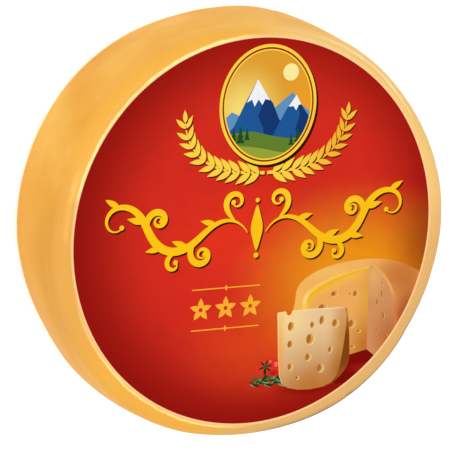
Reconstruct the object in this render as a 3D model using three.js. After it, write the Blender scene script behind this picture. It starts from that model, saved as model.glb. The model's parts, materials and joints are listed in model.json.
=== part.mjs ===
// A whole Swiss-type cheese wheel with a round paper label on its upper face.
// Millimetres, +Z up. The wheel lies on its flat underside, and the origin is the centre of that underside.
// The label faces +Z. Its top edge, as it is read, points to +Y, and its right-hand edge to +X.
import * as THREE from "three";

// Driving dimensions
const WHEEL_DIAMETER = 300;
const WHEEL_HEIGHT = 82;
const EDGE_ROUNDING = 10; // radius of the rounded edge between each flat face and the side
const SIDE_SWELL = 1.2; // how far the middle of the side stands out past its ends
const LABEL_DIAMETER = 273;
const LABEL_THICKNESS = 0.25; // coated paper and its adhesive

// How finely the round shapes are faceted
const TURN_STEPS = 96;
const LABEL_STEPS = 96;
const ROUNDING_STEPS = 7;
const SIDE_STEPS = 6;

const QUARTER_TURN = Math.PI / 2;

const rindColour = new THREE.Color().setRGB(0.9, 0.62, 0.25, THREE.SRGBColorSpace);
const labelColour = new THREE.Color().setRGB(0.78, 0.13, 0.09, THREE.SRGBColorSpace);

// Points of a quarter circle, from the angle `start` onwards, counter-clockwise about `centre`.
function roundedCorner(centre, radius, start) {
  const points = [];
  for (let step = 0; step <= ROUNDING_STEPS; step++) {
    const angle = start + (QUARTER_TURN * step) / ROUNDING_STEPS;
    points.push(
      new THREE.Vector2(centre.x + radius * Math.cos(angle), centre.y + radius * Math.sin(angle)),
    );
  }
  return points;
}

// The wheel's side between its two rounded edges: a shallow swell, as a soft curd takes in its mould.
function swollenSide(sideRadius, low, high) {
  const points = [];
  for (let step = 1; step < SIDE_STEPS; step++) {
    const share = step / SIDE_STEPS;
    const swell = SIDE_SWELL * Math.sin(Math.PI * share);
    points.push(new THREE.Vector2(sideRadius + swell, low + (high - low) * share));
  }
  return points;
}

// Half the wheel's cross-section, from the centre of the underside round to the centre of the upper face.
function wheelProfile() {
  const sideRadius = WHEEL_DIAMETER / 2 - SIDE_SWELL;
  const cornerRadius = sideRadius - EDGE_ROUNDING;
  const low = EDGE_ROUNDING;
  const high = WHEEL_HEIGHT - EDGE_ROUNDING;
  return [
    new THREE.Vector2(0, 0),
    ...roundedCorner(new THREE.Vector2(cornerRadius, low), EDGE_ROUNDING, -QUARTER_TURN),
    ...swollenSide(sideRadius, low, high),
    ...roundedCorner(new THREE.Vector2(cornerRadius, high), EDGE_ROUNDING, 0),
    new THREE.Vector2(0, WHEEL_HEIGHT),
  ];
}

// A half cross-section turned about the Z axis. LatheGeometry turns about Y, so it is laid over.
function turned(profile, steps) {
  return new THREE.LatheGeometry(profile, steps).rotateX(QUARTER_TURN);
}

function cheeseWheel() {
  const material = new THREE.MeshStandardMaterial({ color: rindColour, roughness: 0.42, metalness: 0 });
  const mesh = new THREE.Mesh(turned(wheelProfile(), TURN_STEPS), material);
  mesh.name = "cheese_wheel";
  return mesh;
}

function label() {
  const radius = LABEL_DIAMETER / 2;
  const profile = [
    new THREE.Vector2(0, 0),
    new THREE.Vector2(radius, 0),
    new THREE.Vector2(radius, LABEL_THICKNESS),
    new THREE.Vector2(0, LABEL_THICKNESS),
  ];
  const material = new THREE.MeshStandardMaterial({ color: labelColour, roughness: 0.35, metalness: 0 });
  const mesh = new THREE.Mesh(turned(profile, LABEL_STEPS), material);
  mesh.name = "label";
  mesh.position.z = WHEEL_HEIGHT; // stuck to the upper face
  return mesh;
}

const wheelWithLabel = new THREE.Group();
wheelWithLabel.add(cheeseWheel(), label());

export default wheelWithLabel;
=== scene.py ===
# %% [markdown]
# # A whole cheese wheel with a printed label
# The object is a low round wheel of Swiss-type cheese, 300 mm across, lying on its flat underside. A large
# round label covers nearly all of its upper face. There are two pieces to make: the cheese, which is one
# solid with a satin golden rind, and the label, which is one sheet of coated paper with a printed picture.
# The frame that is loaded here gives each of them its place and its size, in metres.

# %% Load the frame
import json
import math

import bpy
import numpy as np
from mathutils import Matrix, Quaternion, Vector
from mathutils.geometry import delaunay_2d_cdt

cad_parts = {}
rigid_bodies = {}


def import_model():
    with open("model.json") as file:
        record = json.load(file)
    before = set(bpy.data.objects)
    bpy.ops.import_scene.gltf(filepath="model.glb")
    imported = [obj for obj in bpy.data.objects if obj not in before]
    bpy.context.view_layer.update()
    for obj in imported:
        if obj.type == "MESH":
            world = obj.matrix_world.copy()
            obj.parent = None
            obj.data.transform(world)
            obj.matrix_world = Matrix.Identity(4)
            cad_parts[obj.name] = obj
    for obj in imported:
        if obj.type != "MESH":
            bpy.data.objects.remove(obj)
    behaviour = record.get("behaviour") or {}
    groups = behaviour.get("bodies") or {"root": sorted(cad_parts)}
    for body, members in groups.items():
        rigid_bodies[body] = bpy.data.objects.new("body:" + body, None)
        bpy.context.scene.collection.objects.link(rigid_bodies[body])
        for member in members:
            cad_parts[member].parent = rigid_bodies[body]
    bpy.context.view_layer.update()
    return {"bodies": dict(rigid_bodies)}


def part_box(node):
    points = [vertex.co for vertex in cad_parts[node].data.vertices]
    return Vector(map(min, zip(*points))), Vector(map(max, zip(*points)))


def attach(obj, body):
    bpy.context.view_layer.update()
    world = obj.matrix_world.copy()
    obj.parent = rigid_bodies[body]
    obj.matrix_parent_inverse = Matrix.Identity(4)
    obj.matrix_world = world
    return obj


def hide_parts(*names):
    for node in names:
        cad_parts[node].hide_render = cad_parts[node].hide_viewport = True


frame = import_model()
MM = 0.001
body = next(iter(frame["bodies"]))
wheel_low, wheel_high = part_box("cheese_wheel")
label_low, label_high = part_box("label")
wheel_radius = (wheel_high.x - wheel_low.x) / 2
wheel_height = wheel_high.z
label_radius = (label_high.x - label_low.x) / 2
print(f"wheel {2000 * wheel_radius:.0f} x {1000 * wheel_height:.0f} mm, label {2000 * label_radius:.0f} mm")

# %% [markdown]
# ## The camera
# The camera looks down on the label from one side with a long lens, so that the round label shows as a
# slightly narrow ellipse and a band of the wheel's side shows along one edge. A tall lens distance keeps the
# far rim nearly as large as the near one. The picture is turned so that the label reads upright, which a
# camera rotation made from "towards the camera" and "up in the picture" gives directly.

# %% Camera
camera_azimuth, camera_elevation = math.radians(242.9), math.radians(61.4)
camera_distance = 1.786
reading_lean = math.radians(1.9)
sensor_width, focal_length = 36.0, 206.6
aim = Vector((-23.3 * MM, 6.4 * MM, label_high.z))

to_camera = Vector(
    (
        math.sin(camera_azimuth) * math.cos(camera_elevation),
        -math.cos(camera_azimuth) * math.cos(camera_elevation),
        math.sin(camera_elevation),
    )
)
label_up = Vector((0, 1, 0))
picture_up = (label_up - to_camera * label_up.dot(to_camera)).normalized()
picture_up = Quaternion(to_camera, reading_lean) @ picture_up
picture_right = picture_up.cross(to_camera)

camera_data = bpy.data.cameras.new("camera")
camera_data.sensor_width = sensor_width
camera_data.lens = focal_length
camera = bpy.data.objects.new("camera", camera_data)
bpy.context.scene.collection.objects.link(camera)
facing = Matrix((picture_right, picture_up, to_camera)).transposed()
camera.matrix_world = Matrix.Translation(aim + to_camera * camera_distance) @ facing.to_4x4()
bpy.context.scene.camera = camera
print("camera:", [round(value, 3) for value in camera.matrix_world.translation], "metres")

# %% [markdown]
# ## Nodes as formulas
# Both the shape of the cheese and its materials are made by node trees. Two small helpers keep the trees
# readable: one adds a node and feeds its inputs, and one adds a Math node and hands back its result, so that
# a formula can be written as calls inside calls. The operations that come up most have short names of their
# own: a sum, a difference, a product, a smooth step and a cloud of noise.


# %% Node helpers
def add(tree, kind, inputs=None, **settings):
    """A new node with its settings. Each input is given a value, or the socket that feeds it."""
    node = tree.nodes.new(kind)
    for name, value in settings.items():
        setattr(node, name, value)
    for key, value in (inputs or {}).items():
        if isinstance(value, bpy.types.NodeSocket):
            tree.links.new(value, node.inputs[key])
        else:
            node.inputs[key].default_value = value
    return node


def maths(tree, operation, *values):
    """The result of a Math node that is fed these values or sockets."""
    return add(tree, "ShaderNodeMath", dict(enumerate(values)), operation=operation).outputs[0]


def plus(tree, first, second):
    return maths(tree, "ADD", first, second)


def minus(tree, first, second):
    return maths(tree, "SUBTRACT", first, second)


def times(tree, first, second):
    return maths(tree, "MULTIPLY", first, second)


def vector_maths(tree, operation, *values, result="Vector"):
    """A result of a Vector Math node. `result` is "Value" where the operation gives a number."""
    return add(tree, "ShaderNodeVectorMath", dict(enumerate(values)), operation=operation).outputs[result]


# %% Smooth steps, noise and the parts of a place
def smooth_step(tree, value, start, end):
    """0 before start, 1 after end, and a smooth rise or fall between them."""
    inputs = {"Value": value, "From Min": start, "From Max": end}
    return add(tree, "ShaderNodeMapRange", inputs, interpolation_type="SMOOTHSTEP").outputs["Result"]


def noise_at(tree, place, size, detail=2.0, roughness=0.5):
    """Cloudy noise whose patches are about `size` metres across."""
    inputs = {"Vector": place, "Scale": 1 / size, "Detail": detail, "Roughness": roughness}
    return add(tree, "ShaderNodeTexNoise", inputs).outputs[0]


def split(tree, place):
    """The X, Y and Z of a place, and the place straight below it where Z is 0."""
    x, y, z = add(tree, "ShaderNodeSeparateXYZ", {0: place}).outputs
    return x, y, z, add(tree, "ShaderNodeCombineXYZ", {0: x, 1: y}).outputs[0]


# %% A new geometry tree
def new_geometry_tree(name, taken, sizes, given_back):
    """A geometry tree that takes geometry and some named sizes: (tree, what it's given, what it makes)."""
    tree = bpy.data.node_groups.new(name, "GeometryNodeTree")
    tree.interface.new_socket(taken, in_out="INPUT", socket_type="NodeSocketGeometry")
    for size, value in sizes.items():
        kind = "NodeSocketInt" if isinstance(value, int) else "NodeSocketFloat"
        tree.interface.new_socket(size, in_out="INPUT", socket_type=kind).default_value = value
    tree.interface.new_socket(given_back, in_out="OUTPUT", socket_type="NodeSocketGeometry")
    return tree, add(tree, "NodeGroupInput").outputs, add(tree, "NodeGroupOutput").inputs


# %% [markdown]
# ## The unevenness that the cheese and its label share
# A wheel is pressed in a mould while it is soft, so its upper face isn't a perfect plane: it rises and falls
# by a few tenths of a millimetre, and it has some shallow dents. The label is stuck down over all of it. A
# node group that both pieces use is the simplest way to make sure that the paper follows the cheese. It
# moves a point up or down by where it is, seen from above, and it fades out below the face.

# %% Shared relief of the upper face
EDGE_ROUNDING = 10 * MM  # the radius of the wheel's rounded edge, over whose height the relief fades out
SWELL_SIZE, SWELL_DEPTH = 85 * MM, 0.9 * MM
RIPPLE_SIZE, RIPPLE_DEPTH = 26 * MM, 0.22 * MM
FACE_DENTS = [
    # x, y, reach and depth, in millimetres
    (-78, -36, 3.2, 0.30),
    (-74, -38, 2.4, 0.24),
    (-83, -69, 3.0, 0.26),
    (22, -32, 3.4, 0.22),
    (-112, 34, 7.0, 0.40),
    (64, 74, 6.0, 0.25),
    (-20, -118, 9.0, 0.35),
    (118, 44, 7.0, 0.35),
    (-52, 92, 8.0, 0.30),
]


def make_face_relief():
    sizes = {"Face height": wheel_height, "Fade depth": EDGE_ROUNDING}
    tree, given, made = new_geometry_tree("face_relief", "Geometry", sizes, "Geometry")
    height, flat = split(tree, add(tree, "GeometryNodeInputPosition").outputs[0])[2:]

    lift = 0.0
    for size, depth in ((SWELL_SIZE, SWELL_DEPTH), (RIPPLE_SIZE, RIPPLE_DEPTH)):
        around_zero = minus(tree, noise_at(tree, flat, size, 1.0), 0.5)
        lift = plus(tree, lift, times(tree, around_zero, depth))
    for x, y, reach, depth in FACE_DENTS:
        to_dent = vector_maths(tree, "DISTANCE", flat, (x * MM, y * MM, 0), result="Value")
        dip = smooth_step(tree, to_dent, reach * MM, 0.0)
        lift = minus(tree, lift, times(tree, dip, depth * MM))

    fade_start = minus(tree, given["Face height"], given["Fade depth"])
    near_face = smooth_step(tree, height, fade_start, given["Face height"])
    offset = add(tree, "ShaderNodeCombineXYZ", {2: times(tree, lift, near_face)}).outputs[0]
    moved = add(tree, "GeometryNodeSetPosition", {"Geometry": given[0], "Offset": offset})
    tree.links.new(moved.outputs[0], made[0])
    return tree


face_relief = make_face_relief()


def with_relief(tree, geometry):
    """The geometry with the shared relief pressed into its upper face."""
    return add(tree, "GeometryNodeGroup", {"Geometry": geometry}, node_tree=face_relief).outputs[0]


print("relief of the face:", len(face_relief.nodes), "nodes")

# %% [markdown]
# ## The satin rind
# The rind is smooth and golden, with cloudy patches from uneven drying, a faint pebbled skin and a few
# pores. It lets a little light in, as all cheese does. Round the wheel the rim's colour differs: a paler
# stretch that is partly the rind's own colour and partly painted highlight, browner stretches and one dark
# stretch that are painted shade on the side away from the light, and painted highlight lines beside the
# label. All this could be painted into an image, but cloudy noise gives the same look at any distance, and a
# direction, a height and a distance from the axis are enough to say where each patch or line lies. They read
# Object coordinates, so that they stay in place on the cheese.


# %% Colours and a base for every material
def linear(red, green, blue):
    """A screen colour, 0 to 255, as the linear colour that a shader takes."""
    shares = [channel / 255 for channel in (red, green, blue)]
    return (*(s / 12.92 if s <= 0.04045 else ((s + 0.055) / 1.055) ** 2.4 for s in shares), 1.0)


def new_material(name, roughness):
    """A material with a Principled shader: (material, its tree, the shader, Object coordinates)."""
    material = bpy.data.materials.new(name)
    material.use_nodes = True
    tree = material.node_tree
    shader = tree.nodes["Principled BSDF"]
    shader.inputs["Roughness"].default_value = roughness
    place = add(tree, "ShaderNodeTexCoord").outputs["Object"]
    return material, tree, shader, place


def mixed(tree, share, first, second):
    """One colour mixed with another by a share from 0 to 1."""
    inputs = {0: share, 6: first, 7: second}
    return add(tree, "ShaderNodeMix", inputs, data_type="RGBA").outputs[2]


def bumped(tree, height, depth, distance, below=None):
    """A Bump node's normal, laid over another one where `below` is given."""
    inputs = {"Height": height, "Strength": depth, "Distance": distance}
    if below is not None:
        inputs["Normal"] = below
    return add(tree, "ShaderNodeBump", inputs).outputs[0]


print("middle grey as a shader takes it:", round(linear(128, 128, 128)[0], 3))


# %% Directions and rings on the wheel
def in_sector(tree, flat, middle, full, gone):
    """1 in the directions near the middle one, falling from `full` to 0 at `gone` degrees away from it."""
    turn = math.radians(middle)
    outward = vector_maths(tree, "NORMALIZE", flat)
    pointing = (math.cos(turn), math.sin(turn), 0)
    cosine = vector_maths(tree, "DOT_PRODUCT", outward, pointing, result="Value")
    return smooth_step(tree, cosine, math.cos(math.radians(gone)), math.cos(math.radians(full)))


def in_band(tree, value, middle, half):
    """1 where the value is the middle one, falling smoothly to 0 where it is `half` away from it."""
    away = maths(tree, "ABSOLUTE", minus(tree, value, middle))
    return smooth_step(tree, away, half, 0.0)


# %% Cloudy gold all over
def cloudy_gold(tree, place, clouds, drier, mottle):
    """Gold in three shades: large clouds, drier patches, and a fine mottle, with painted shade that deepens
    it towards -Y. One side is a deeper gold high up.
    """
    gold, deep, light = linear(236, 174, 70), linear(230, 160, 54), linear(243, 189, 92)
    _, y, height, flat = split(tree, place)
    colour = mixed(tree, smooth_step(tree, clouds, 0.35, 0.65), deep, gold)
    colour = mixed(tree, times(tree, smooth_step(tree, drier, 0.46, 0.74), 0.7), colour, light)
    # Painted shade: deeper gold towards -Y, the side away from the light.
    colour = mixed(tree, times(tree, smooth_step(tree, y, 60 * MM, -110 * MM), 0.55), colour, deep)
    colour = mixed(tree, times(tree, smooth_step(tree, mottle, 0.5, 0.8), 0.22), colour, light)
    high_up = smooth_step(tree, height, 30 * MM, 62 * MM)
    deep_gold_side = times(tree, in_sector(tree, flat, 190, 8, 26), high_up)
    return mixed(tree, times(tree, deep_gold_side, 0.85), colour, linear(220, 154, 52))


# %% Patches and painted shade on the rim
# The browner patches at 300 and 350 degrees are painted shade on the side away from the light; the paler one
# at 45 degrees is partly the rind's own colour and partly painted highlight.
RIM_PATCHES = [
    # direction round the wheel, full and gone in degrees, strength, colour
    (350, 20, 45, 0.95, (225, 177, 114)),
    (300, 20, 50, 0.95, (217, 174, 112)),
    (45, 30, 52, 0.95, (240, 201, 128)),
    (187, 16, 34, 0.9, (228, 167, 82)),
]


def with_rim(tree, place, colour):
    """The colour with the rim's own colour, painted highlight and painted shade laid over it: (colour, where
    the rim is).
    """
    _, _, height, flat = split(tree, place)
    rim_colour = linear(236, 173, 70)
    for middle, full, gone, strength, patch in RIM_PATCHES:
        share = times(tree, in_sector(tree, flat, middle, full, gone), strength)
        rim_colour = mixed(tree, share, rim_colour, linear(*patch))
    rim = smooth_step(tree, height, wheel_height - 13 * MM, wheel_height - 2 * MM)
    colour = mixed(tree, times(tree, rim, 0.85), colour, rim_colour)
    # A dark stretch of painted shade along the rim's outer edge, on the side away from the light.
    painted_shade_band = in_band(tree, height, 77.3 * MM, 4.2 * MM)
    painted_rim_shade = times(tree, in_sector(tree, flat, 307, 14, 40), painted_shade_band)
    return mixed(tree, painted_rim_shade, colour, linear(124, 86, 66)), rim


print("patches on the rim:", len(RIM_PATCHES))

# %% Painted highlights round the label
# Painted highlights beside the label; the line at 64 degrees is a thin painted shade line.
PAINTED_HIGHLIGHT_LINES = [
    # direction, full and gone in degrees, distance from the label and half width in mm, strength, colour
    (132, 28, 44, 1.4, 1.9, 1.0, (255, 234, 154)),
    (233, 22, 40, 2.6, 1.3, 1.0, (255, 226, 140)),
    (64, 16, 30, 3.8, 0.9, 0.8, (232, 186, 112)),
    (66, 14, 28, 6.4, 1.4, 0.8, (252, 226, 176)),
    (40, 4, 9, 5.4, 1.2, 0.8, (255, 232, 170)),
    (168, 4, 12, 5.6, 3.4, 0.7, (252, 198, 98)),
]


def with_lines(tree, place, colour, drier, mottle):
    """The colour with a thin painted highlight ring by the label, and painted highlight lines, one of them
    painted shade, that wander and break: (colour, where the lines are).
    """
    _, _, height, flat = split(tree, place)
    reach = vector_maths(tree, "LENGTH", flat, result="Value")
    on_top = smooth_step(tree, height, wheel_height - 4 * MM, wheel_height - 2 * MM)
    # A thin painted highlight ring just outside the label's edge.
    edge_highlight = times(tree, in_band(tree, reach, label_radius + 0.7 * MM, 1.5 * MM), on_top)
    colour = mixed(tree, edge_highlight, colour, linear(255, 200, 146))
    wandering = plus(tree, reach, times(tree, minus(tree, mottle, 0.5), 2.0 * MM))
    line_highlights = 0.0
    for middle, full, gone, distance, half, strength, line_colour in PAINTED_HIGHLIGHT_LINES:
        line = in_band(tree, wandering, label_radius + distance * MM, half * MM)
        line = times(tree, line, times(tree, on_top, strength))
        line = times(tree, line, in_sector(tree, flat, middle, full, gone))
        line = times(tree, line, smooth_step(tree, drier, 0.25, 0.5))
        colour = mixed(tree, line, colour, linear(*line_colour))
        line_highlights = maths(tree, "MAXIMUM", line_highlights, line)
    return colour, line_highlights


print("painted highlight lines:", len(PAINTED_HIGHLIGHT_LINES))


# %% Rind material
def make_rind():
    material, tree, shader, place = new_material("golden_rind", 0.42)
    clouds = noise_at(tree, place, 90 * MM)
    drier = noise_at(tree, place, 48 * MM, 3.0, 0.55)
    mottle = noise_at(tree, place, 11 * MM, 3.0, 0.6)
    skin = noise_at(tree, place, 2.6 * MM, 3.0, 0.6)
    # Cloudy gold with painted shade towards -Y, the rim's own colour with painted highlight and painted
    # shade, then painted highlight lines beside the label.
    colour = cloudy_gold(tree, place, clouds, drier, mottle)
    colour, rim = with_rim(tree, place, colour)
    colour, line_highlights = with_lines(tree, place, colour, drier, mottle)
    pores = add(tree, "ShaderNodeTexVoronoi", {"Vector": place, "Scale": 1 / (16 * MM)})
    pore = smooth_step(tree, pores.outputs["Distance"], 0.07, 0.02)
    colour = mixed(tree, times(tree, pore, 0.3), colour, linear(208, 136, 52))
    tree.links.new(colour, shader.inputs["Base Color"])

    normal = bumped(tree, skin, 0.3, 0.2 * MM)
    normal = bumped(tree, mottle, 0.3, 0.8 * MM, normal)
    # A slight bump where the painted highlight lines are.
    normal = bumped(tree, line_highlights, 0.4, 0.4 * MM, normal)
    tree.links.new(normal, shader.inputs["Normal"])
    gloss = add(tree, "ShaderNodeMapRange", {"Value": clouds, "To Min": 0.34, "To Max": 0.52})
    tree.links.new(gloss.outputs[0], shader.inputs["Roughness"])
    shader.inputs["Specular IOR Level"].default_value = 0.03
    tree.links.new(times(tree, rim, 0.12), shader.inputs["Coat Weight"])
    shader.inputs["Coat Roughness"].default_value = 0.22
    shader.inputs["Subsurface Weight"].default_value = 0.12
    shader.inputs["Subsurface Radius"].default_value = (1.0, 0.55, 0.2)
    shader.inputs["Subsurface Scale"].default_value = 6 * MM
    return material


golden_rind = make_rind()
print("rind:", len(golden_rind.node_tree.nodes), "nodes")

# %% [markdown]
# ## The cheese
# The wheel is round because it was pressed in a round mould, so it is turned: its half section is drawn once
# and swept round a circle. That is a rule, and a Geometry Nodes tree carries it well. The tree sits on the
# half section itself, which is a curve, and the steps are: sweep, close the seam and the two poles, press
# the round a little out of true as a real wheel is, scatter shallow press marks, and add the soft waviness
# of the rind, a shallow groove round the side and a few knocks on the rim. Its sizes are named inputs, and
# the scatter has a fixed seed.

# %% Half section of the wheel
SIDE_SWELL = 1.2 * MM
LABEL_BED = 0.05 * MM  # the face lies this much under the label's paper
FACE_RINGS, CORNER_STEPS, SIDE_STEPS = 34, 14, 26
side_radius = wheel_radius - SIDE_SWELL


def corner(radius, height, start_degrees):
    """A quarter circle of points about (radius, height), counter-clockwise from a start angle."""
    angles = np.radians(start_degrees + np.linspace(0, 90, CORNER_STEPS + 1))
    return [(radius + EDGE_ROUNDING * math.cos(a), height + EDGE_ROUNDING * math.sin(a)) for a in angles]


def half_section():
    """From the centre of the underside, out, up the swollen side, and in to the centre of the face."""
    top = wheel_height - LABEL_BED
    corner_radius = side_radius - EDGE_ROUNDING
    low, high = EDGE_ROUNDING, top - EDGE_ROUNDING
    flat = np.linspace(0, corner_radius, FACE_RINGS)
    rise = np.linspace(0, 1, SIDE_STEPS)[1:-1]
    points = [(r, 0.0) for r in flat[:-1]] + corner(corner_radius, low, -90)
    points += [(side_radius + SIDE_SWELL * math.sin(math.pi * s), low + (high - low) * s) for s in rise]
    return points + corner(corner_radius, high, 0) + [(r, top) for r in flat[-2::-1]]


section_points = half_section()
print("half section:", len(section_points), "points")


# %% Draw the half section
def curve_of(name, points):
    """A curve object with one straight-sided spline, drawn flat in X and Y."""
    curve = bpy.data.curves.new(name, "CURVE")
    curve.dimensions = "3D"
    spline = curve.splines.new("POLY")
    spline.points.add(len(points) - 1)
    for point, (x, y) in zip(spline.points, points):
        point.co = (x, y, 0, 1)
    made = bpy.data.objects.new(name, curve)
    bpy.context.scene.collection.objects.link(made)
    return made


section = curve_of("half_section", [(r - wheel_radius, -z) for r, z in reversed(section_points)])
print("its curve is a", section.data.splines[0].type, "spline")

# %% Out of round
# How far the mould and the press left the round out of true: lobes, swell in mm, and the angle of a lobe.
SHARED_LOBES = [(1, 1.2, 287), (2, 1.0, 177), (3, 0.55, 0), (4, 0.65, 58), (5, 0.4, 5), (6, 0.95, 5)]
LEANING_LOBES = [(1, 0.85, 270), (2, 1.25, 165), (4, 1.1, 30), (5, 0.25, 49), (6, 0.25, 36)]
STILL_ROUND = 0.6  # the share of the radius inside which the wheel stays true


def lobes(tree, angle, table):
    """The sum of the table's lobes at an angle round the wheel, in metres."""
    total = 0.0
    for count, swell, lobe_angle in table:
        turned = minus(tree, angle, math.radians(lobe_angle))
        wave = maths(tree, "COSINE", times(tree, turned, float(count)))
        total = plus(tree, total, times(tree, wave, swell * MM))
    return total


def out_of_round(tree, given, place, wheel):
    """The wheel's geometry, pushed out or in by its lobes. The leaning ones change over halfway up."""
    x, y, z, flat = split(tree, place)
    angle = maths(tree, "ARCTAN2", y, x)
    reach = vector_maths(tree, "LENGTH", flat, result="Value")
    lean = minus(tree, times(tree, maths(tree, "DIVIDE", z, given["Height"]), 2.0), 1.0)
    leaning = times(tree, lobes(tree, angle, LEANING_LOBES), lean)
    swell = plus(tree, lobes(tree, angle, SHARED_LOBES), leaning)
    outer = smooth_step(tree, reach, times(tree, given["Radius"], STILL_ROUND), given["Radius"])
    growth = maths(tree, "DIVIDE", times(tree, swell, outer), given["Radius"])
    outward = add(tree, "ShaderNodeVectorMath", {0: flat, "Scale": growth}, operation="SCALE").outputs[0]
    return add(tree, "GeometryNodeSetPosition", {"Geometry": wheel, "Offset": outward}).outputs[0]


print("lobes:", len(SHARED_LOBES) + len(LEANING_LOBES))

# %% Press marks and waves
WAVE_SIZE = 42 * MM


def waves_and_marks(tree, given, place, wheel):
    """How far the rind stands out or in: soft waves, less the scattered press marks."""
    scatter = {"Mesh": wheel, "Density": given["Marks per square metre"], "Seed": given["Seed"]}
    marks = add(tree, "GeometryNodeDistributePointsOnFaces", scatter)
    nearest = add(tree, "GeometryNodeProximity", {0: marks.outputs["Points"]}, target_element="POINTS")
    in_mark = smooth_step(tree, nearest.outputs["Distance"], given["Mark reach"], 0.0)
    wave = minus(tree, noise_at(tree, place, WAVE_SIZE, 1.5), 0.5)
    return minus(tree, times(tree, wave, given["Waviness"]), times(tree, in_mark, given["Mark depth"]))


# %% A groove in the side and knocks on the rim
GROOVE_PATCHES, GROOVE_HALF = 75 * MM, 9 * MM  # how long its stretches are, and half its width
SIDE_START, SIDE_FULL = 135 * MM, 142 * MM  # the distances from the axis where the groove fades in
RIM_KNOCKS = [
    # angle round the wheel, distance out, height, reach and depth in mm
    (-57, 147.5, 78, 5.0, 0.9),
    (37, 146, 80.5, 7.0, 0.7),
    (41, 144.5, 81.5, 4.0, 0.5),
    (205, 147, 78, 9.0, 0.5),
]


def rind_lift(tree, given, place, wheel):
    """All that moves the rind along its normal. The underside and the face under the label stay still."""
    _, _, z, flat = split(tree, place)
    reach = vector_maths(tree, "LENGTH", flat, result="Value")
    above_floor = smooth_step(tree, z, 0.0, EDGE_ROUNDING)
    lift = times(tree, waves_and_marks(tree, given, place, wheel), above_floor)
    patches = smooth_step(tree, noise_at(tree, place, GROOVE_PATCHES, 0.0), 0.3, 0.6)
    groove = times(tree, in_band(tree, z, given["Groove height"], GROOVE_HALF), given["Groove depth"])
    groove = times(tree, groove, patches)
    lift = minus(tree, lift, times(tree, groove, smooth_step(tree, reach, SIDE_START, SIDE_FULL)))
    past_label = smooth_step(tree, reach, label_radius - 4 * MM, label_radius + 4 * MM)
    below_face = smooth_step(tree, z, wheel_height - 2 * MM, wheel_height - 6 * MM)
    lift = times(tree, lift, maths(tree, "MAXIMUM", past_label, below_face))
    for angle, out, high, knock_reach, depth in RIM_KNOCKS:
        turn = math.radians(angle)
        spot = (out * math.cos(turn) * MM, out * math.sin(turn) * MM, high * MM)
        to_spot = vector_maths(tree, "DISTANCE", place, spot, result="Value")
        hollow = smooth_step(tree, to_spot, knock_reach * MM, 0.0)
        lift = minus(tree, lift, times(tree, hollow, depth * MM))
    return lift


print("knocks on the rim:", len(RIM_KNOCKS))

# %% The tree that turns the section into a wheel
WHEEL_SIZES = {
    "Radius": wheel_radius,
    "Height": wheel_height,
    "Steps around": 360,
    "Waviness": 1.4 * MM,
    "Groove height": 61 * MM,
    "Groove depth": 0.35 * MM,
    "Marks per square metre": 420.0,
    "Mark reach": 8 * MM,
    "Mark depth": 0.35 * MM,
    "Seed": 7,
}
WELD_DISTANCE = 0.01 * MM


def make_wheel_tree():
    tree, given, made = new_geometry_tree("turned_wheel", "Half section", WHEEL_SIZES, "Wheel")
    circle_inputs = {"Resolution": given["Steps around"], "Radius": given["Radius"]}
    circle = add(tree, "GeometryNodeCurvePrimitiveCircle", circle_inputs)
    sweep_inputs = {"Curve": circle.outputs["Curve"], "Profile Curve": given[0]}
    sweep = add(tree, "GeometryNodeCurveToMesh", sweep_inputs)
    weld_inputs = {"Geometry": sweep.outputs[0], "Distance": WELD_DISTANCE}
    closed = add(tree, "GeometryNodeMergeByDistance", weld_inputs)

    place = add(tree, "GeometryNodeInputPosition").outputs[0]
    wheel = out_of_round(tree, given, place, closed.outputs[0])
    lift = rind_lift(tree, given, place, wheel)
    normal = add(tree, "GeometryNodeInputNormal").outputs[0]
    offset = add(tree, "ShaderNodeVectorMath", {0: normal, "Scale": lift}, operation="SCALE").outputs[0]
    marked = add(tree, "GeometryNodeSetPosition", {"Geometry": wheel, "Offset": offset}).outputs[0]
    smooth = add(tree, "GeometryNodeSetShadeSmooth", {"Geometry": with_relief(tree, marked)})
    whole = add(tree, "GeometryNodeRealizeInstances", {"Geometry": smooth.outputs[0]})
    coated = add(tree, "GeometryNodeSetMaterial", {"Geometry": whole.outputs[0], "Material": golden_rind})
    tree.links.new(coated.outputs[0], made[0])
    return tree


wheel_tree = make_wheel_tree()
print("wheel tree:", len(wheel_tree.nodes), "nodes")


# %% Turn the wheel
def set_inputs(modifier, values):
    """Sets a Geometry Nodes modifier's inputs by the names that its tree gives them."""
    for item in modifier.node_group.interface.items_tree:
        if item.in_out == "INPUT" and item.name in values:
            modifier[item.identifier] = values[item.name]


def plain_mesh(source, name):
    """What an object's modifiers make, as a new object with a plain mesh. The source is removed."""
    evaluated = source.evaluated_get(bpy.context.evaluated_depsgraph_get())
    made = bpy.data.objects.new(name, bpy.data.meshes.new_from_object(evaluated))
    bpy.context.scene.collection.objects.link(made)
    bpy.data.objects.remove(source)
    return made


def volume_litres(thing):
    """The volume inside a closed mesh, which is positive if its faces point outwards."""
    thing.data.calc_loop_triangles()
    points = np.array([v.co for v in thing.data.vertices])
    a, b, c = points[np.array([t.vertices for t in thing.data.loop_triangles])].transpose(1, 0, 2)
    return float((a * np.cross(b, c)).sum()) / 6 * 1000


turning = section.modifiers.new("turning", "NODES")
turning.node_group = wheel_tree
set_inputs(turning, WHEEL_SIZES)
wheel = plain_mesh(section, "wheel_body")
print("wheel:", len(wheel.data.polygons), "faces,", round(volume_litres(wheel), 2), "litres")
print("wheel size in mm:", [round(1000 * d, 1) for d in wheel.dimensions])
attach(wheel, body)
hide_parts("cheese_wheel")

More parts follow.
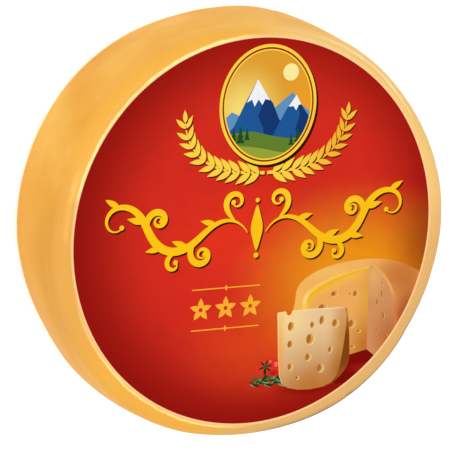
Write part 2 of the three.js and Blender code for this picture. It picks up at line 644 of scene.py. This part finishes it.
# %% [markdown]
# ## Drawing the printed picture
# The label is a printed picture, so it needs drawing before it needs modelling. Everything on it is drawn as
# closed outlines in millimetres from the label's centre, with the label's top towards +Y: ovals, leaves,
# soft loops, and brush strokes that follow a curve which winds tighter and tighter. A list of outlines in
# painting order, each with the name of its ink, is the whole picture. Later outlines cover earlier ones. An
# outline may have a window: then only what lies inside the window is printed.


# %% Ovals, loops and leaves
def turned_by(points, degrees):
    c, s = math.cos(math.radians(degrees)), math.sin(math.radians(degrees))
    return np.array(points, float) @ np.array([[c, s], [-s, c]])


def oval(x, y, across, up, turn=0.0, steps=40):
    angles = np.linspace(0, 2 * math.pi, steps, endpoint=False)
    return turned_by(np.stack([across * np.cos(angles), up * np.sin(angles)], axis=1), turn) + (x, y)


def soft_loop(points, steps=6):
    """A closed curve that passes smoothly through all the points."""
    here = np.array(points, float)
    before, after, beyond = (np.roll(here, shift, axis=0) for shift in (1, -1, -2))
    t = (np.arange(steps) / steps)[:, None, None]
    bend = 2 * before - 5 * here + 4 * after - beyond
    last = 3 * here - before - 3 * after + beyond
    curve = (2 * here + (after - before) * t + bend * t**2 + last * t**3) / 2
    return curve.transpose(1, 0, 2).reshape(-1, 2)


def leaf(x, y, heading, length, width, steps=10):
    along = np.linspace(0, 1, steps)
    half = width / 2 * np.sin(math.pi * along**0.8)
    there = np.stack([length * along, -half], axis=1)
    back = np.stack([length * along, half], axis=1)[-2:0:-1]
    return turned_by(np.concatenate([there, back]), heading) + (x, y)


print("a leaf has", len(leaf(0, 0, 0, 10, 4)), "points")


# %% Brush strokes
def winding_line(x, y, heading, length, bends, steps=60):
    """A line whose bend, in degrees per millimetre, changes evenly from one of `bends` to the next."""
    share = np.linspace(0, 1, steps)
    bend = np.interp(share, np.linspace(0, 1, len(bends)), bends)
    step = length / (steps - 1)
    headings = np.radians(heading + np.concatenate([[0], np.cumsum((bend[1:] + bend[:-1]) / 2 * step)]))
    moves = np.stack([np.cos(headings[:-1]), np.sin(headings[:-1])], axis=1) * step
    return np.array([x, y]) + np.concatenate([[[0, 0]], np.cumsum(moves, axis=0)]), headings


def thickened(line, headings, half):
    side = np.stack([-np.sin(headings), np.cos(headings)], axis=1) * half[:, None]
    return np.concatenate([line - side, (line + side)[::-1]])


def mirrored(outline, middle):
    return np.array([2 * middle, 0]) + outline[::-1] * (-1, 1)


print("a brush stroke winds through", len(winding_line(0, 0, 0, 50, [2, 9])[0]), "points")

# %% [markdown]
# ## Gold scrollwork across the middle
# A band of gold brushwork crosses the label, with a thin dark shade under its lower right edges so that it
# stands off the red. It's drawn once on the right and mirrored to the left, and an upright drop stands
# between the two. Each stroke starts thin, swells, ends thin in a small ball, and winds tighter towards its
# end, as a brush does. At each turn of the main stroke a branch goes on winding the old way and fills the
# hollow.

# %% Scrollwork
MAIN_STROKE = (7, 1, 56, 152, [-2.6, -3.6, -1.2, 2.0, 3.4, 1.6, -2.2, -4.2, -7, -12], 6.0, 0.5)
BRANCHES = [
    # where it leaves the main stroke, how far it turns off, length, bends, thickness, where it is thickest
    (0.30, 8, 54, [-4, -6, -8, -11, -17, -26], 4.8, 0.35),
    (0.58, -8, 50, [4, 6.2, 8.6, 12, 18, 27], 4.8, 0.35),
    (0.10, 30, 44, [-1, 4, 8, 10, 14, 24], 4.4, 0.4),
    (0.42, -14, 26, [-3, -8, -14, -26], 3.6, 0.4),
]
SCROLL_LEAVES = [(0.2, 42, 12), (0.36, 46, 13), (0.5, -46, 12), (0.66, -44, 13), (0.8, 44, 12)]
SHADE_SHIFT = (1.0, -1.2)


def brush_stroke(x, y, heading, length, bends, thick, swell):
    """A stroke that swells from a fine start and ends in a small ball: its outlines, and its line."""
    line, headings = winding_line(x, y, heading, length, bends)
    share = np.linspace(0, 1, len(line)) ** (math.log(0.5) / math.log(swell))
    half = 0.3 + (thick / 2 - 0.3) * np.sin(math.pi * share) ** 1.1
    half[-12:] = np.maximum(half[-12:], 0.55)
    return [thickened(line, headings, half), oval(*line[-1], 1.8, 1.8, steps=18)], line, np.degrees(headings)


def brushwork():
    made, line, headings = brush_stroke(*MAIN_STROKE)
    for share, turn_off, length, bends, thick, swell in BRANCHES:
        at = int(share * (len(line) - 1))
        made += brush_stroke(*line[at], headings[at] + turn_off, length, bends, thick, swell)[0]
    for share, turn_off, length in SCROLL_LEAVES:
        at = int(share * (len(line) - 1))
        made.append(leaf(*line[at], headings[at] + turn_off, length, 0.36 * length))
    return made


right_half = brushwork()
drop = np.array([(0, -12), (3.0, -4), (4.6, 4), (3.0, 12), (0, 20), (-3.0, 12), (-4.6, 4), (-3.0, -4)])
centre = [soft_loop(drop), oval(0, -15.5, 1.9, 1.9, steps=18), oval(0, 23.5, 1.6, 1.6, steps=18)]
scrollwork = right_half + [mirrored(outline, 0) for outline in right_half] + centre
picture = [("shade", outline + SHADE_SHIFT) for outline in scrollwork]
picture += [("gold", outline) for outline in scrollwork]
print("scrollwork:", len(scrollwork), "outlines")

# %% [markdown]
# ## A small ornament
# Below the scrollwork there's a quiet block in thin yellow: two fine rules with a diamond on each, and a row
# of small flowers between them. It fills the place where a label gives its details.

# %% Ornament
rule = np.array([(-26, -0.4), (26, -0.4), (26, 0.4), (-26, 0.4)])
diamond = np.array([(0, -2.2), (1.2, 0), (0, 2.2), (-1.2, 0)])
for rule_y in (-37, -66):
    picture += [("thin_gold", shape + (-22, rule_y)) for shape in (rule, diamond)]
for flower_x in (-41, -22, -3):
    for petal in range(5):
        picture.append(("thin_gold", leaf(flower_x, -51.5, 90 + 72 * petal, 8.5, 4.2)))
    picture.append(("ground", oval(flower_x, -51.5, 1.5, 1.5, steps=16)))
print("with the ornament:", len(picture), "outlines")

# %% [markdown]
# ## The medallion
# A big oval medallion stands at the top, in a garland of two wheat sprigs. It shows snowy mountains above a
# meadow, against a golden sky. The landscape is drawn past the oval's edge and printed through the sky's
# oval as a window, which is easier than drawing every end on the edge.

# %% Garland of wheat
MEDALLION_X = 5.5


def wheat_sprig():
    """A bent stem with pairs of grains, smaller towards its tip, and one grain at the end."""
    line, headings = winding_line(MEDALLION_X + 1, 42.5, 2, 80, [0.1, 0.4, 1.0, 1.5, 1.6, 1.4])
    made = [thickened(line, headings, np.linspace(1.2, 0.5, len(line)))]
    for share in np.linspace(0.06, 0.95, 11):
        at = int(share * (len(line) - 1))
        size = 1.05 - 0.3 * share
        for spread in (38, -38):
            made.append(leaf(*line[at], math.degrees(headings[at]) + spread, 13.5 * size, 4.4 * size))
    return made + [leaf(*line[-1], math.degrees(headings[-1]), 9, 3.4)]


sprig = wheat_sprig()
garland = sprig + [mirrored(outline, MEDALLION_X) for outline in sprig]
for outline in garland:
    picture += [("shade", outline + (0.7, -0.9)), ("wheat", outline)]
print("garland:", len(garland), "outlines")

# %% Medallion
MEDALLION_Y, MEDALLION_ACROSS, MEDALLION_UP = 90.0, 37.0, 42.0


def medallion_oval(inset, shift=(0, 0)):
    return oval(MEDALLION_X, MEDALLION_Y, MEDALLION_ACROSS - inset, MEDALLION_UP - inset, steps=96) + shift


sky = medallion_oval(4.4)
picture.append(("shade", medallion_oval(-0.3, (1.3, -1.7))))
for inset, ink in ((0.0, "wheat"), (2.2, "deep_red"), (3.4, "wheat")):
    picture.append((ink, medallion_oval(inset)))
picture.append(("golden_sky", sky))
print("with the empty medallion:", len(picture), "outlines")

# %% Landscape in the medallion
near_ridge = [(-3, 108), (4, 97), (9, 91), (14, 80), (20, 70), (24, 62)]
far_peaks = [(16, 92), (24, 98), (32, 88), (50, 76), (50, 60)]
meadow_edge = [(-45, 66), (-25, 70), (-8, 72), (10, 68), (26, 66), (48, 70)]
landscape = [
    ("sun", oval(22, 112, 6.0, 6.0)),
    ("far_blue", [(-40, 60), (-40, 70), (-22, 86), (-16, 83), (-4, 96), (6, 84), *far_peaks]),
    ("blue", [(-34, 62), (-20, 76), (-12, 92), *near_ridge]),
    ("deep_blue", [*near_ridge, (4, 62), (2, 74), (-2, 82), (1, 91)]),
    ("snow", [(-3, 108), (4, 97), (7, 93), (3, 94), (1, 90), (-2, 94), (-5, 89), (-7, 94), (-11, 92)]),
    ("blue", [(6, 62), (16, 80), (22, 90), (27, 96), (33, 86), (42, 74), (50, 60)]),
    ("deep_blue", [(27, 96), (33, 86), (42, 74), (50, 60), (30, 60), (27, 72), (30, 82)]),
    ("snow", [(27, 96), (31, 89), (29, 89), (27, 85), (25, 88), (21, 88)]),
    ("meadow", soft_loop([*meadow_edge, (48, 40), (-45, 40)])),
    ("light_meadow", soft_loop([(-45, 56), (-22, 62), (0, 60), (22, 56), (48, 62), (48, 38), (-45, 38)])),
]
picture += [(ink, np.array(outline, float), sky) for ink, outline in landscape]
for tree_x, tree_y, tall in ((-20, 66, 9), (-15, 64, 12), (-10, 66, 8), (29, 63, 10), (24, 61, 8)):
    for tier in (0.0, 0.3, 0.6):
        half, foot = tall * 0.3 * (1 - tier), tree_y + tall * tier
        branches = [(tree_x - half, foot), (tree_x + half, foot), (tree_x, foot + tall * 0.45)]
        picture.append(("fir", np.array(branches), sky))
print("with the landscape:", len(picture), "outlines")

# %% [markdown]
# ## The pictured cheeses
# At the lower right the label shows what's inside: a wheel with a wedge taken out of it, running off the
# label's edge, and a standing block in front of it on a red table, with three small tomatoes and sprigs of
# rosemary beside them. Every hole in the cheeses is three ovals: a pale one that shows as its lit edge, the
# hole, and its shaded part. A strip that follows the arc of the cut is the wheel's rind, lit from above.

# %% Holes
# The holes' x and y, reach across and up, and turn
WHEEL_HOLES = [
    (63, -48, 2.6, 2.0, 8),
    (80, -49.2, 2.0, 2.3, -10),
    (75.5, -49, 0.8, 0.8, 0),
    (54, -57, 3.2, 2.2, 10),
    (78, -71, 2.6, 3.0, -12),
    (84, -77, 1.5, 1.0, 20),
    (79.5, -88, 1.4, 1.0, 0),
    (57, -64, 1.5, 1.5, 0),
]
FAR_HOLES = [
    (98, -57, 0.9, 2.7, 8),
    (101.5, -51, 0.8, 3.2, 4),
    (103.5, -67, 1.0, 3.2, 10),
    (98.5, -77, 0.7, 1.8, 0),
    (107, -83, 1.0, 2.8, 20),
    (101, -43, 0.5, 1.4, 0),
]
BLOCK_HOLES = [
    (29.5, -69, 2.4, 3.4, -8),
    (46.5, -69.3, 1.7, 2.4, 0),
    (54, -66.5, 2.0, 3.4, -8),
    (64.8, -69.5, 2.4, 3.0, -8),
    (45, -79.5, 3.0, 3.9, -4),
    (29.5, -82, 2.2, 2.8, -4),
    (61.5, -88.6, 1.6, 2.2, -8),
    (44, -92.6, 2.2, 2.7, -8),
    (30, -98.6, 1.9, 2.6, -4),
    (54, -101.5, 2.5, 3.1, -8),
    (36, -107, 1.3, 1.5, 0),
]


def holes(table, hole_ink, lit_ink, window):
    """Each hole is an oval with a fine lit edge at its right, and shade in its left part."""
    made = []
    for x, y, across, up, turn in table:
        hole = oval(x, y, across, up, turn, 24)
        lit = oval(x + 0.2 * across, y - 0.12 * across, across + 0.15, up + 0.15, turn, 24)
        shade = oval(x - 0.42 * across, y + 0.08 * up, across * 0.72, up * 0.86, turn, 20)
        made.append((lit_ink, lit, window))
        made += [(hole_ink, hole, window), (hole_ink + "_deep", shade, hole)]
    return made


print("holes:", len(WHEEL_HOLES) + len(FAR_HOLES) + len(BLOCK_HOLES))

# %% The cut wheel on its table
wheel_top = soft_loop(
    [(31, -62), (32, -51), (33, -43), (36, -38), (43, -33), (54, -28.5), (70, -25.5), (88, -24.5)]
    + [(104, -26), (120, -31), (134, -39), (142, -52), (140, -75), (128, -95), (112, -108), (98, -97)]
    + [(76, -94), (50, -96), (36, -88)]
)
cut_arc = np.array([(41.4, -60), (41.6, -51), (44, -47), (51, -42.4), (61, -38), (73, -34.4), (90, -31)])
cut_face = np.concatenate([cut_arc, [(91, -91), (76, -94), (42, -96)]])


def along_arc(first, second):
    """A strip beside the cut's arc, between two shares of the way to its lit side."""
    to_lit = np.array([(-3.4, 0), (-3.6, 0.4), (-3.4, 2.0), (-2.2, 2.6), (-1.4, 2.4), (-0.8, 1.8), (0, 1.0)])
    return np.concatenate([cut_arc + first * to_lit, (cut_arc + second * to_lit)[::-1]])


far_rim = [(112, -84), (112.6, -72), (111.6, -61), (109, -51), (104, -41.5), (97, -34), (90, -30.5)]
far_face = np.concatenate(
    [[(90, -30.5), (91, -91.5), (97, -96), (112, -108)], soft_loop([*far_rim, (90, -60)])[:36]]
)
picture.append(("picture_rind", wheel_top))
picture += [("far_line", far_face + (1.8, 1.0), wheel_top), ("far_face", far_face, wheel_top)]
picture += [("cut_face", cut_face), ("rind_lit", along_arc(0, 1))]
picture += [("cut_glow", along_arc(-1.0, 0)), ("rind_line", along_arc(-0.5, 0.1))]
picture += holes(WHEEL_HOLES, "hole", "cut_lit", cut_face) + holes(FAR_HOLES, "hole", "far_face", far_face)
table_top = [(60, -97), (76, -94), (91, -91), (97, -96), (104, -100), (114, -108), (90, -116), (66, -114)]
picture.append(("table", np.array(table_top)))
print("with the cut wheel:", len(picture), "outlines")

# %% Tomatoes and rosemary
for x, y, size in ((7.5, -97.5, 4.8), (16, -101, 4.6), (16.5, -95.5, 5.6)):
    picture.append(("tomato", oval(x, y, size, size * 0.95)))
for x, y, across, up in ((19.0, -95.6, 1.7, 1.9), (14.2, -93.2, 1.1, 1.0)):
    picture.append(("tomato_lit", oval(x, y, across, up, steps=18)))
for point in range(6):
    picture.append(("herb_deep", leaf(10.6, -96.8, 10 + 62 * point, 6.2, 1.4)))
picture += [("herb", oval(10.8, -96.8, 1.8, 1.8, 0, 16)), ("herb_deep", leaf(10.8, -97, -92, 9, 1.5))]
for needle in range(64):
    x = -1.5 + 0.36 * needle
    y = -107.6 + (1.2 + 0.02 * needle) * math.sin(2.1 * needle)
    heading, length = 6 + 30 * math.sin(2.3 * needle), 6.4 - 1.4 * math.cos(3.1 * needle)
    ink = ("herb_deep", "herb", "herb_lit", "herb_deep", "herb")[needle % 5]
    picture.append((ink, leaf(x, y, heading, length, 1.3)))
print("with the tomatoes and rosemary:", len(picture), "outlines")

# %% The standing block
block_side = soft_loop(
    [(71.5, -60), (74.2, -63), (75.8, -72), (76.8, -84), (77.2, -95), (75.6, -102), (70.5, -108.5)]
    + [(65, -112.5), (60, -112), (60, -80)]
)
block_top = [(19, -58.8), (25.4, -58.2), (26.2, -60.4), (28.2, -61.6), (30, -60.6), (30.6, -58.2)]
block_right = [(50, -58.2), (70, -58.9), (72.6, -60.4), (73.7, -64), (73.5, -72), (72.7, -82), (71.3, -92)]
block_foot = [(69.8, -101), (67.4, -108.4), (63.4, -113), (57, -115.6), (46, -116.6), (36, -115.8)]
block_left = [(28.6, -113.8), (24.4, -110.6), (22.2, -105), (20.8, -92), (20, -76)]
block_front = np.array(block_top + block_right + block_foot + block_left)
picture.append(("block_side", block_side))
picture += [("block_edge", block_front + (-0.5, 0.45)), ("block_front", block_front)]
picture += holes(BLOCK_HOLES, "hole", "hole_lit", block_front)
print("the whole picture:", len(picture), "outlines")

# %% [markdown]
# ## Inks on coated paper
# The ink lies on smooth coated paper with a soft gloss. The red ground is brightest in the middle, darker
# towards the edge, and glows amber behind the cheeses. Such soft changes don't need outlines. Every ink is
# one material with a base colour and some soft spots of other colours, placed in Object coordinates, so that
# they print in the same place at any size. All the inks share the paper's fine grain, the slight
# unevenness of a thick ink film, and a gloss that varies.


# %% Ink materials
def soft_spot(tree, place, x, y, across, up, core):
    """1 inside an oval's core, falling smoothly to 0 at its edge. The sizes are in millimetres."""
    centre, stretch = (x * MM, y * MM, 0), (1 / (across * MM), 1 / (up * MM), 0)
    scaled = vector_maths(tree, "MULTIPLY", vector_maths(tree, "SUBTRACT", place, centre), stretch)
    return smooth_step(tree, vector_maths(tree, "LENGTH", scaled, result="Value"), 1.0, core)


PAPER_WHITE = 0.86  # the share of light that white coated paper gives back


def printed(red, green, blue):
    return (*(PAPER_WHITE * channel for channel in linear(red, green, blue)[:3]), 1.0)


def make_ink(name, base, spots=()):
    material, tree, shader, place = new_material("ink_" + name, 0.36)
    colour = printed(*base)
    for x, y, across, up, core, strength, spot_colour in spots:
        share = times(tree, soft_spot(tree, place, x, y, across, up, core), strength)
        colour = mixed(tree, share, colour, printed(*spot_colour))
    film = noise_at(tree, place, 14 * MM, 2.0)
    film_share = times(tree, smooth_step(tree, film, 0.45, 0.8), 0.10)
    colour = mixed(tree, film_share, colour, printed(*(0.85 * channel for channel in base)))
    tree.links.new(colour, shader.inputs["Base Color"])
    grain = noise_at(tree, place, 1.1 * MM, 2.0, 0.6)
    normal = bumped(tree, grain, 0.12, 0.06 * MM)
    tree.links.new(bumped(tree, film, 0.15, 0.25 * MM, normal), shader.inputs["Normal"])
    gloss = add(tree, "ShaderNodeMapRange", {"Value": film, "To Min": 0.30, "To Max": 0.44})
    tree.links.new(gloss.outputs[0], shader.inputs["Roughness"])
    shader.inputs["Specular IOR Level"].default_value = 0.03
    return material


# %% Inks of the ground and the gold
GROUND_SPOTS = [
    # x, y, reach across, reach up, core, strength, colour
    (7, 4, 148, 148, 0.55, 1.0, (213, 42, 27)),
    (-14, -4, 74, 50, 0.0, 0.8, (232, 52, 28)),
    (10, -80, 80, 48, 0.0, 0.7, (224, 74, 20)),
    (76, -34, 103, 74, 0.03, 1.0, (240, 152, 16)),
    (140, -15, 40, 48, 0.0, 0.7, (150, 64, 14)),
    (46, -115, 36, 8, 0.0, 0.85, (126, 6, 2)),
]
INKS = {
    "ground": ((148, 14, 6), GROUND_SPOTS),
    "paper": ((255, 244, 214), []),
    "shade": ((62, 12, 6), []),
    "gold": (
        (255, 198, 16),
        [(60, 0, 70, 30, 0.2, 0.5, (250, 190, 20)), (0, 22, 130, 14, 0.0, 0.5, (255, 214, 50))],
    ),
    "thin_gold": ((250, 176, 50), []),
    "wheat": (
        (252, 212, 70),
        [(5, 60, 40, 26, 0.0, 0.7, (255, 226, 30)), (62, 60, 40, 50, 0.0, 0.8, (246, 168, 36))],
    ),
    "deep_red": ((150, 14, 10), []),
}
print("inks so far:", len(INKS))

# %% Inks of the landscape
INKS |= {
    "golden_sky": (
        (226, 158, 44),
        [(-12, 82, 38, 44, 0.1, 0.9, (252, 228, 120)), (36, 80, 26, 44, 0.0, 0.8, (246, 160, 30))],
    ),
    "sun": ((255, 238, 160), []),
    "far_blue": ((96, 146, 190), []),
    "blue": ((28, 86, 150), []),
    "deep_blue": ((16, 54, 110), []),
    "snow": ((244, 244, 246), []),
    "meadow": ((96, 128, 44), []),
    "light_meadow": ((150, 164, 54), []),
    "fir": ((30, 74, 40), []),
}
print("inks so far:", len(INKS))

# %% Inks of the cut wheel and its table
INKS |= {
    "table": (
        (128, 6, 2),
        [(86, -104, 16, 5, 0.0, 0.6, (176, 26, 14)), (66, -106, 12, 12, 0.0, 0.7, (96, 4, 2))],
    ),
    "picture_rind": (
        (246, 180, 96),
        [(38, -56, 30, 26, 0.0, 0.9, (250, 186, 84)), (118, -38, 38, 26, 0.1, 0.95, (203, 118, 52))]
        + [(126, -70, 26, 34, 0.2, 0.95, (172, 66, 26)), (56, -32, 26, 8, 0.0, 0.6, (252, 198, 106))],
    ),
    "rind_lit": (
        (253, 200, 92),
        [(40, -49, 7, 9, 0.0, 0.8, (255, 220, 126)), (84, -32, 30, 8, 0.0, 0.8, (246, 188, 82))],
    ),
    "rind_line": ((240, 186, 22), [(42, -58, 6, 9, 0.1, 0.7, (250, 196, 80))]),
    "cut_glow": ((244, 184, 62), []),
    "far_line": ((238, 170, 92), [(112, -70, 12, 26, 0.2, 0.9, (206, 118, 60))]),
    "cut_face": (
        (242, 172, 92),
        [(91, -54, 15, 46, 0.0, 0.8, (228, 164, 56)), (90, -92, 24, 40, 0.0, 0.9, (190, 106, 30))]
        + [(x, y, 15, 7, 0.0, 0.6, (255, 198, 54)) for x, y in ((50, -44), (62, -39.5), (76, -35.5))],
    ),
    "cut_lit": ((250, 198, 124), []),
    "far_face": (
        (214, 146, 94),
        [(94, -38, 14, 22, 0.0, 0.8, (236, 178, 106)), (109, -84, 19, 32, 0.0, 0.85, (190, 104, 48))],
    ),
}
print("inks so far:", len(INKS))

# %% Inks of the block, the holes and the greenery
INKS |= {
    "block_front": (
        (238, 201, 150),
        [(24, -62, 28, 24, 0.0, 0.9, (254, 222, 150)), (20.5, -88, 7, 48, 0.0, 0.9, (250, 178, 68))]
        + [(52, -112, 60, 46, 0.0, 0.9, (194, 130, 68)), (72, -84, 16, 60, 0.0, 0.9, (200, 132, 52))]
        + [(70, -104, 14, 22, 0.0, 0.7, (165, 96, 26)), (46, -120, 50, 25, 0.1, 0.8, (192, 112, 34))],
    ),
    "block_edge": ((255, 240, 196), [(20, -96, 10, 22, 0.0, 0.9, (246, 200, 120))]),
    "block_side": (
        (134, 66, 14),
        [(75, -64, 10, 16, 0.0, 0.8, (190, 124, 44)), (71, -108, 12, 10, 0.0, 0.8, (162, 90, 24))],
    ),
    "hole": ((222, 164, 88), []),
    "hole_deep": ((184, 108, 32), []),
    "hole_lit": ((250, 220, 150), []),
    "tomato": ((224, 50, 34), [(17, -102, 6, 4, 0.0, 0.9, (176, 12, 12))]),
    "tomato_lit": ((250, 104, 78), []),
    "herb": ((56, 92, 40), []),
    "herb_deep": ((26, 44, 18), []),
    "herb_lit": ((128, 152, 100), []),
}
inks = {name: make_ink(name, base, spots) for name, (base, spots) in INKS.items()}
print("inks:", len(inks))

# %% [markdown]
# ## One sheet, cut along every printed outline
# A printed picture has crisp edges, and it needs no image here. The sheet's own faces can follow the
# picture: a constrained triangulation takes every outline as edges that must appear, and adds a grid of free
# points so that the sheet can bend. Then each face takes the ink of the topmost outline around it. The sheet
# is one closed solid with a printed upper side, a white underside and a thin white edge.


# %% Is a point inside an outline
def inside(points, outline):
    """For each point, whether the outline winds round it. A stroke may cross itself."""
    ahead = np.roll(outline, -1, axis=0)
    winding = np.zeros(len(points), int)
    for (x0, y0), (x1, y1) in zip(outline, ahead):
        side = (x1 - x0) * (points[:, 1] - y0) - (points[:, 0] - x0) * (y1 - y0)
        rising = (y0 <= points[:, 1]) & (y1 > points[:, 1]) & (side > 0)
        falling = (y0 > points[:, 1]) & (y1 <= points[:, 1]) & (side < 0)
        winding += rising.astype(int) - falling.astype(int)
    return winding != 0


# %% Triangulate the sheet
EDGE_STEPS, BEND_GRID = 288, 4.0
label_mm = label_radius / MM
sheet_edge = oval(0, 0, label_mm, label_mm, steps=EDGE_STEPS)


def bend_points():
    """A grid of points in rows that are shifted by half a step from each other."""
    reach = int(label_mm / BEND_GRID) + 1
    rows, steps = np.meshgrid(np.arange(-reach, reach + 1), np.arange(-reach, reach + 1))
    across, up = (steps + 0.5 * (rows % 2)) * BEND_GRID, rows * BEND_GRID * 0.87
    points = np.stack([across, up], axis=-1).reshape(-1, 2)
    return points[np.hypot(*points.T) < label_mm - 2]


def triangulate(outlines):
    points, edges = [bend_points()], []
    count = len(points[0])
    for outline in outlines:
        places = np.arange(len(outline)) + count
        edges += list(zip(places.tolist(), np.roll(places, -1).tolist()))
        points.append(outline)
        count += len(outline)
    vectors = [Vector(p) for p in np.concatenate(points)]
    found, _, faces, *_ = delaunay_2d_cdt(vectors, edges, [], 0, 0.002)
    return np.array(found), np.array(faces)


sheet_points, sheet_faces = triangulate([sheet_edge] + [shape[1] for shape in picture])
print("sheet:", len(sheet_points), "points,", len(sheet_faces), "faces")


# %% Ink the faces
def inked_faces(points, faces):
    """The faces inside the sheet's edge, and the ink of the topmost outline round each of them."""
    centres = points[faces].mean(axis=1)
    kept = inside(centres, sheet_edge)
    faces, centres = faces[kept], centres[kept]
    names = list(INKS)
    ink = np.full(len(faces), names.index("ground"))
    for name, outline, *window in picture:
        near = np.all((centres > outline.min(axis=0)) & (centres < outline.max(axis=0)), axis=1)
        for shape in [outline] + window:
            near[near] = inside(centres[near], shape)
        ink[near] = names.index(name)
    return faces, ink


sheet_faces, sheet_ink = inked_faces(sheet_points, sheet_faces)
print("faces on the printed side:", len(sheet_faces))

# %% Close the sheet into a thin solid
def thin_solid(name, points, faces):
    """The flat faces at the label's top, a reversed copy at its underside, and a wall round the edge."""
    used, faces = np.unique(faces, return_inverse=True)
    points, faces = points[used] * MM, faces.reshape(-1, 3)
    count = len(points)
    top = np.column_stack([points, np.full(count, label_high.z)])
    under = np.column_stack([points, np.full(count, label_low.z)])
    sides = np.concatenate([faces[:, [0, 1]], faces[:, [1, 2]], faces[:, [2, 0]]])
    known = set(map(tuple, sides.tolist()))
    wall = [(b, a, a + count, b + count) for a, b in known if (b, a) not in known]
    mesh = bpy.data.meshes.new(name)
    all_faces = faces.tolist() + (faces[:, ::-1] + count).tolist() + wall
    mesh.from_pydata(np.concatenate([top, under]).tolist(), [], all_faces)
    made = bpy.data.objects.new(name, mesh)
    bpy.context.scene.collection.objects.link(made)
    return made, len(all_faces)


flat_sheet, face_count = thin_solid("flat_sheet", sheet_points, sheet_faces)
for ink in inks.values():
    flat_sheet.data.materials.append(ink)
face_ink = np.concatenate([sheet_ink, np.zeros(face_count - len(sheet_ink), int)])
flat_sheet.data.polygons.foreach_set("material_index", face_ink.astype(np.int32))
print("thin solid:", face_count, "faces")

# %% [markdown]
# ## Sticking the sheet down
# The sheet now takes the same relief as the cheese under it, from the node group that the two share. The
# tree ends by giving its underside and its edge the bare paper, which it finds by the way that they face.

# %% Relief and bare paper
BARE_SIZES = {"Least upward facing": 0.5}  # a face that looks less upwards than this is bare paper


def make_sticking_tree():
    tree, given, made = new_geometry_tree("stuck_down", "Sheet", BARE_SIZES, "Label")
    normal = add(tree, "GeometryNodeInputNormal").outputs[0]
    facing = add(tree, "ShaderNodeSeparateXYZ", {0: normal}).outputs[2]
    compared = {0: facing, 1: given["Least upward facing"]}
    bare = add(tree, "FunctionNodeCompare", compared, operation="LESS_THAN").outputs[0]
    whole = add(tree, "GeometryNodeRealizeInstances", {"Geometry": with_relief(tree, given["Sheet"])})
    paper_inputs = {"Geometry": whole.outputs[0], "Selection": bare, "Material": inks["paper"]}
    papered = add(tree, "GeometryNodeSetMaterial", paper_inputs)
    tree.links.new(papered.outputs[0], made[0])
    return tree


sticking = flat_sheet.modifiers.new("sticking", "NODES")
sticking.node_group = make_sticking_tree()
set_inputs(sticking, BARE_SIZES)
label = plain_mesh(flat_sheet, "printed_label")
label.data.polygons.foreach_set("use_smooth", [True] * len(label.data.polygons))
label.data.set_sharp_from_angle(angle=math.radians(40))
print("label:", len(label.data.polygons), "faces,", round(1000 * volume_litres(label), 1), "cm3")
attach(label, body)
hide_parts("label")

# %% [markdown]
# ## Floor and light
# The wheel lies on a plain, nearly white floor. The light is that of a bright white room: an even glow from
# all round, a large soft lamp above, and a smaller one on the left that draws a highlight along the rim.

# %% Floor
floor_material, floor_tree, floor_shader, floor_place = new_material("pale_floor", 0.8)
floor_grain = noise_at(floor_tree, floor_place, 3 * MM, 2.0)
floor_colour = mixed(floor_tree, floor_grain, (0.60, 0.60, 0.60, 1), (0.64, 0.64, 0.64, 1))
floor_tree.links.new(floor_colour, floor_shader.inputs["Base Color"])
floor_shader.inputs["Emission Color"].default_value = (1.0, 1.0, 1.0, 1.0)
floor_shader.inputs["Emission Strength"].default_value = 0.62
bpy.ops.mesh.primitive_plane_add(size=6.0, location=(0, 0, -0.0005))
floor = bpy.context.object
floor.name = "floor"
floor.data.materials.append(floor_material)
print("floor:", floor.dimensions.x, "m across")

# %% Light
world = bpy.data.worlds.new("white_room")
bpy.context.scene.world = world
world.use_nodes = True
world.node_tree.nodes["Background"].inputs["Color"].default_value = (1.0, 1.0, 1.0, 1.0)
world.node_tree.nodes["Background"].inputs["Strength"].default_value = 0.66
bpy.context.scene.view_settings.view_transform = "Standard"


def area_lamp(name, position, size, power, target=(0, 0, 0.05)):
    lamp_data = bpy.data.lights.new(name, "AREA")
    lamp_data.shape = "DISK"
    lamp_data.size = size
    lamp_data.energy = power
    lamp = bpy.data.objects.new(name, lamp_data)
    lamp.location = position
    lamp.rotation_euler = (Vector(target) - Vector(position)).to_track_quat("-Z", "Y").to_euler()
    bpy.context.scene.collection.objects.link(lamp)
    return lamp


area_lamp("lamp_above", (-0.15, 0.2, 1.6), 0.9, 10.5)
area_lamp("lamp_low", (-0.5, -1.5, 1.1), 0.3, 1.5)
area_lamp("lamp_left", (-1.3, 0.4, 0.9), 0.8, 2)
